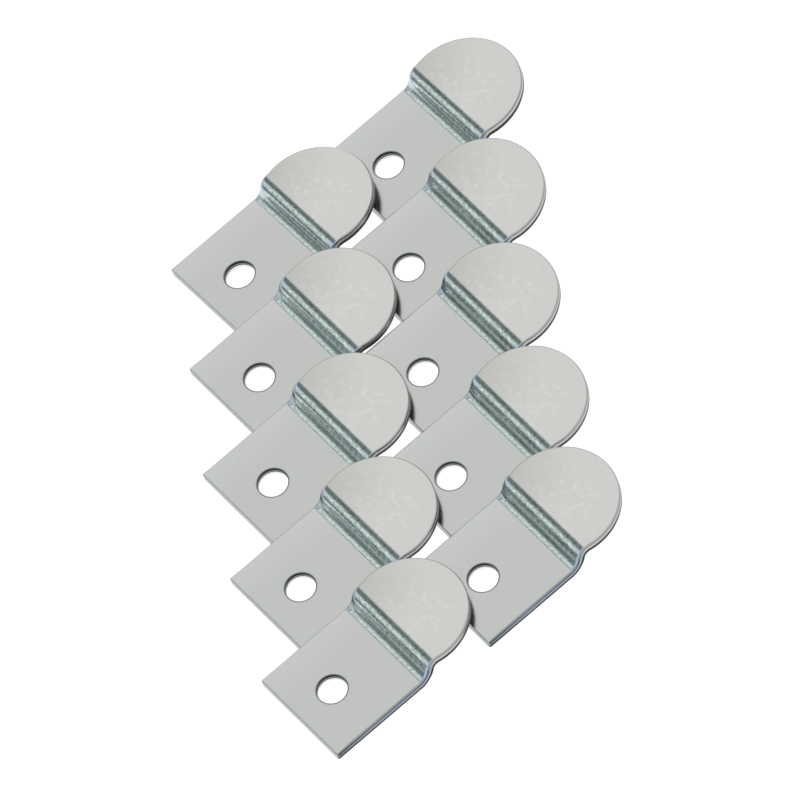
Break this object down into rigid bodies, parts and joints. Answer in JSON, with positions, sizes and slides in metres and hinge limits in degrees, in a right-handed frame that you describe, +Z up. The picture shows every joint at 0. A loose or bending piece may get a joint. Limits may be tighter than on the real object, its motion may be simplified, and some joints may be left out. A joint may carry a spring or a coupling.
{
  "type": "offset frame clip set",
  "caption": "Zinc-plated steel offset clips for fixing a panel or canvas in a frame, laid in two shingled columns; each has a flat plate with a screw hole, a double bend and a round tongue.",
  "frame": {"origin": "bottom centre of the whole set, on the table that it lies on", "axes": "+X along the clips towards their tongues, +Y towards the first row, +Z up"},
  "size_m": [0.0864, 0.0802, 0.0056],
  "materials": {
    "zinc_plated_steel": "bright zinc plated sheet, satin"
  },
  "bodies": {
    "right_clip_1": {"right_clip_1": "zinc_plated_steel"},
    "right_clip_2": {"right_clip_2": "zinc_plated_steel"},
    "right_clip_3": {"right_clip_3": "zinc_plated_steel"},
    "right_clip_4": {"right_clip_4": "zinc_plated_steel"},
    "right_clip_5": {"right_clip_5": "zinc_plated_steel"},
    "left_clip_1": {"left_clip_1": "zinc_plated_steel"},
    "left_clip_2": {"left_clip_2": "zinc_plated_steel"},
    "left_clip_3": {"left_clip_3": "zinc_plated_steel"},
    "left_clip_4": {"left_clip_4": "zinc_plated_steel"},
    "left_clip_5": {"left_clip_5": "zinc_plated_steel"}
  },
  "joints": [
    {"name": "right_clip_2_lift", "type": "slide", "parent": "right_clip_1", "child": "right_clip_2", "axis": [0, 0, 1], "range_m": [0, 0.015]},
    {"name": "right_clip_3_lift", "type": "slide", "parent": "right_clip_2", "child": "right_clip_3", "axis": [0, 0, 1], "range_m": [0, 0.015]},
    {"name": "right_clip_4_lift", "type": "slide", "parent": "right_clip_3", "child": "right_clip_4", "axis": [0, 0, 1], "range_m": [0, 0.015]},
    {"name": "right_clip_5_lift", "type": "slide", "parent": "right_clip_4", "child": "right_clip_5", "axis": [0, 0, 1], "range_m": [0, 0.015]},
    {"name": "left_clip_1_lift", "type": "slide", "parent": "right_clip_5", "child": "left_clip_1", "axis": [0, 0, 1], "range_m": [0, 0.015]},
    {"name": "left_clip_2_lift", "type": "slide", "parent": "left_clip_1", "child": "left_clip_2", "axis": [0, 0, 1], "range_m": [0, 0.015]},
    {"name": "left_clip_3_lift", "type": "slide", "parent": "left_clip_2", "child": "left_clip_3", "axis": [0, 0, 1], "range_m": [0, 0.015]},
    {"name": "left_clip_4_lift", "type": "slide", "parent": "left_clip_3", "child": "left_clip_4", "axis": [0, 0, 1], "range_m": [0, 0.015]},
    {"name": "left_clip_5_lift", "type": "slide", "parent": "left_clip_4", "child": "left_clip_5", "axis": [0, 0, 1], "range_m": [0, 0.015]}
  ]
}
